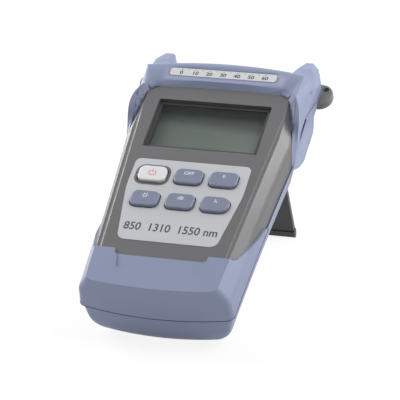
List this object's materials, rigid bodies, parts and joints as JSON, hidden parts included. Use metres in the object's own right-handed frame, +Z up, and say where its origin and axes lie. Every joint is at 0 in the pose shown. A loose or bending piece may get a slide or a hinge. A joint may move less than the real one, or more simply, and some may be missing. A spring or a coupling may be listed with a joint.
{
  "type": "optical power meter",
  "caption": "Handheld fibre optic power meter standing on its kickstand: grey face with display and keypad, blue end guards, horned end over two threaded ports, strap lugs",
  "frame": {"origin": "centre of the footprint of the standing instrument, at the table", "axes": "+X across the instrument to its right, +Y back towards the kickstand and the raised port end, +Z up"},
  "size_m": [0.1136, 0.1952, 0.1151],
  "materials": {
    "guard_blue": "soft satin moulded guard, fine spark texture",
    "shell_grey": "satin dark grey moulding",
    "window_clear": "clear hard-coated acrylic",
    "bezel_black": "matt black",
    "lcd_grey": "grey-green reflective liquid crystal panel",
    "overlay_silver": "printed silver-grey polyester, fine grain",
    "label_silver": "printed silver polyester",
    "key_blue": "satin moulded keys with white legends",
    "key_white": "satin white moulded key with red symbol",
    "silicone_grey": "matt silicone",
    "board_green": "glass-fibre board with solder resist",
    "port_nickel": "nickel-plated turned metal",
    "sleeve_ceramic": "polished white ceramic",
    "module_steel": "bare metal can",
    "contact_nickel": "nickel-plated spring strip",
    "lug_grey": "matt moulded grey",
    "screw_steel": "zinc-plated",
    "pin_steel": "ground steel",
    "stand_black": "matt black moulding",
    "cell_jacket": "plain printed sleeve, bright ends"
  },
  "bodies": {
    "instrument": {"battery_contacts": "contact_nickel", "bottom_guard": "guard_blue", "case_screws": "screw_steel", "cell_1": "cell_jacket", "cell_2": "cell_jacket", "cell_3": "cell_jacket", "detector_module": "module_steel", "detector_port": "port_nickel", "detector_sleeve": "sleeve_ceramic", "display_window": "window_clear", "front_housing": "shell_grey", "keypad_mat": "silicone_grey", "keypad_overlay": "overlay_silver", "laser_module": "module_steel", "lcd_bezel": "bezel_black", "lcd_panel": "lcd_grey", "main_board": "board_green", "rear_housing": "guard_blue", "source_port": "port_nickel", "source_sleeve": "sleeve_ceramic", "stand_pins": "pin_steel", "strap_lug_left": "lug_grey", "strap_lug_right": "lug_grey", "title_label": "label_silver", "top_guard": "guard_blue"},
    "key_auto_off_cap": {"key_auto_off": "key_blue"},
    "key_db_cap": {"key_db": "key_blue"},
    "key_light_cap": {"key_light": "key_blue"},
    "key_power_cap": {"key_power": "key_white"},
    "key_wavelength_cap": {"key_wavelength": "key_blue"},
    "key_zero_cap": {"key_zero": "key_blue"},
    "stand": {"kickstand": "stand_black"},
    "cover": {"battery_cover": "guard_blue"}
  },
  "joints": [
    {"name": "key_auto_off_press", "type": "slide", "parent": "instrument", "child": "key_auto_off_cap", "axis": [0, 0.4769, -0.879], "range_m": [0, 0.0008], "stiffness_N_per_m": 300, "springref_m": -0.0005},
    {"name": "key_db_press", "type": "slide", "parent": "instrument", "child": "key_db_cap", "axis": [0, 0.4769, -0.879], "range_m": [0, 0.0008], "stiffness_N_per_m": 300, "springref_m": -0.0005},
    {"name": "key_light_press", "type": "slide", "parent": "instrument", "child": "key_light_cap", "axis": [0, 0.4769, -0.879], "range_m": [0, 0.0008], "stiffness_N_per_m": 300, "springref_m": -0.0005},
    {"name": "key_power_press", "type": "slide", "parent": "instrument", "child": "key_power_cap", "axis": [0, 0.4769, -0.879], "range_m": [0, 0.0008], "stiffness_N_per_m": 300, "springref_m": -0.0005},
    {"name": "key_wavelength_press", "type": "slide", "parent": "instrument", "child": "key_wavelength_cap", "axis": [0, 0.4769, -0.879], "range_m": [0, 0.0008], "stiffness_N_per_m": 300, "springref_m": -0.0005},
    {"name": "key_zero_press", "type": "slide", "parent": "instrument", "child": "key_zero_cap", "axis": [0, 0.4769, -0.879], "range_m": [0, 0.0008], "stiffness_N_per_m": 300, "springref_m": -0.0005},
    {"name": "stand_fold", "type": "hinge", "parent": "instrument", "child": "stand", "pos_m": [0, 0.06531, 0.07511], "axis": [1, 0, 0], "range_deg": [-84, 0]},
    {"name": "cover_swing", "type": "hinge", "parent": "instrument", "child": "cover", "pos_m": [0, -0.06194, 0.00561], "axis": [1, 0, 0], "range_deg": [-45, 0]}
  ]
}
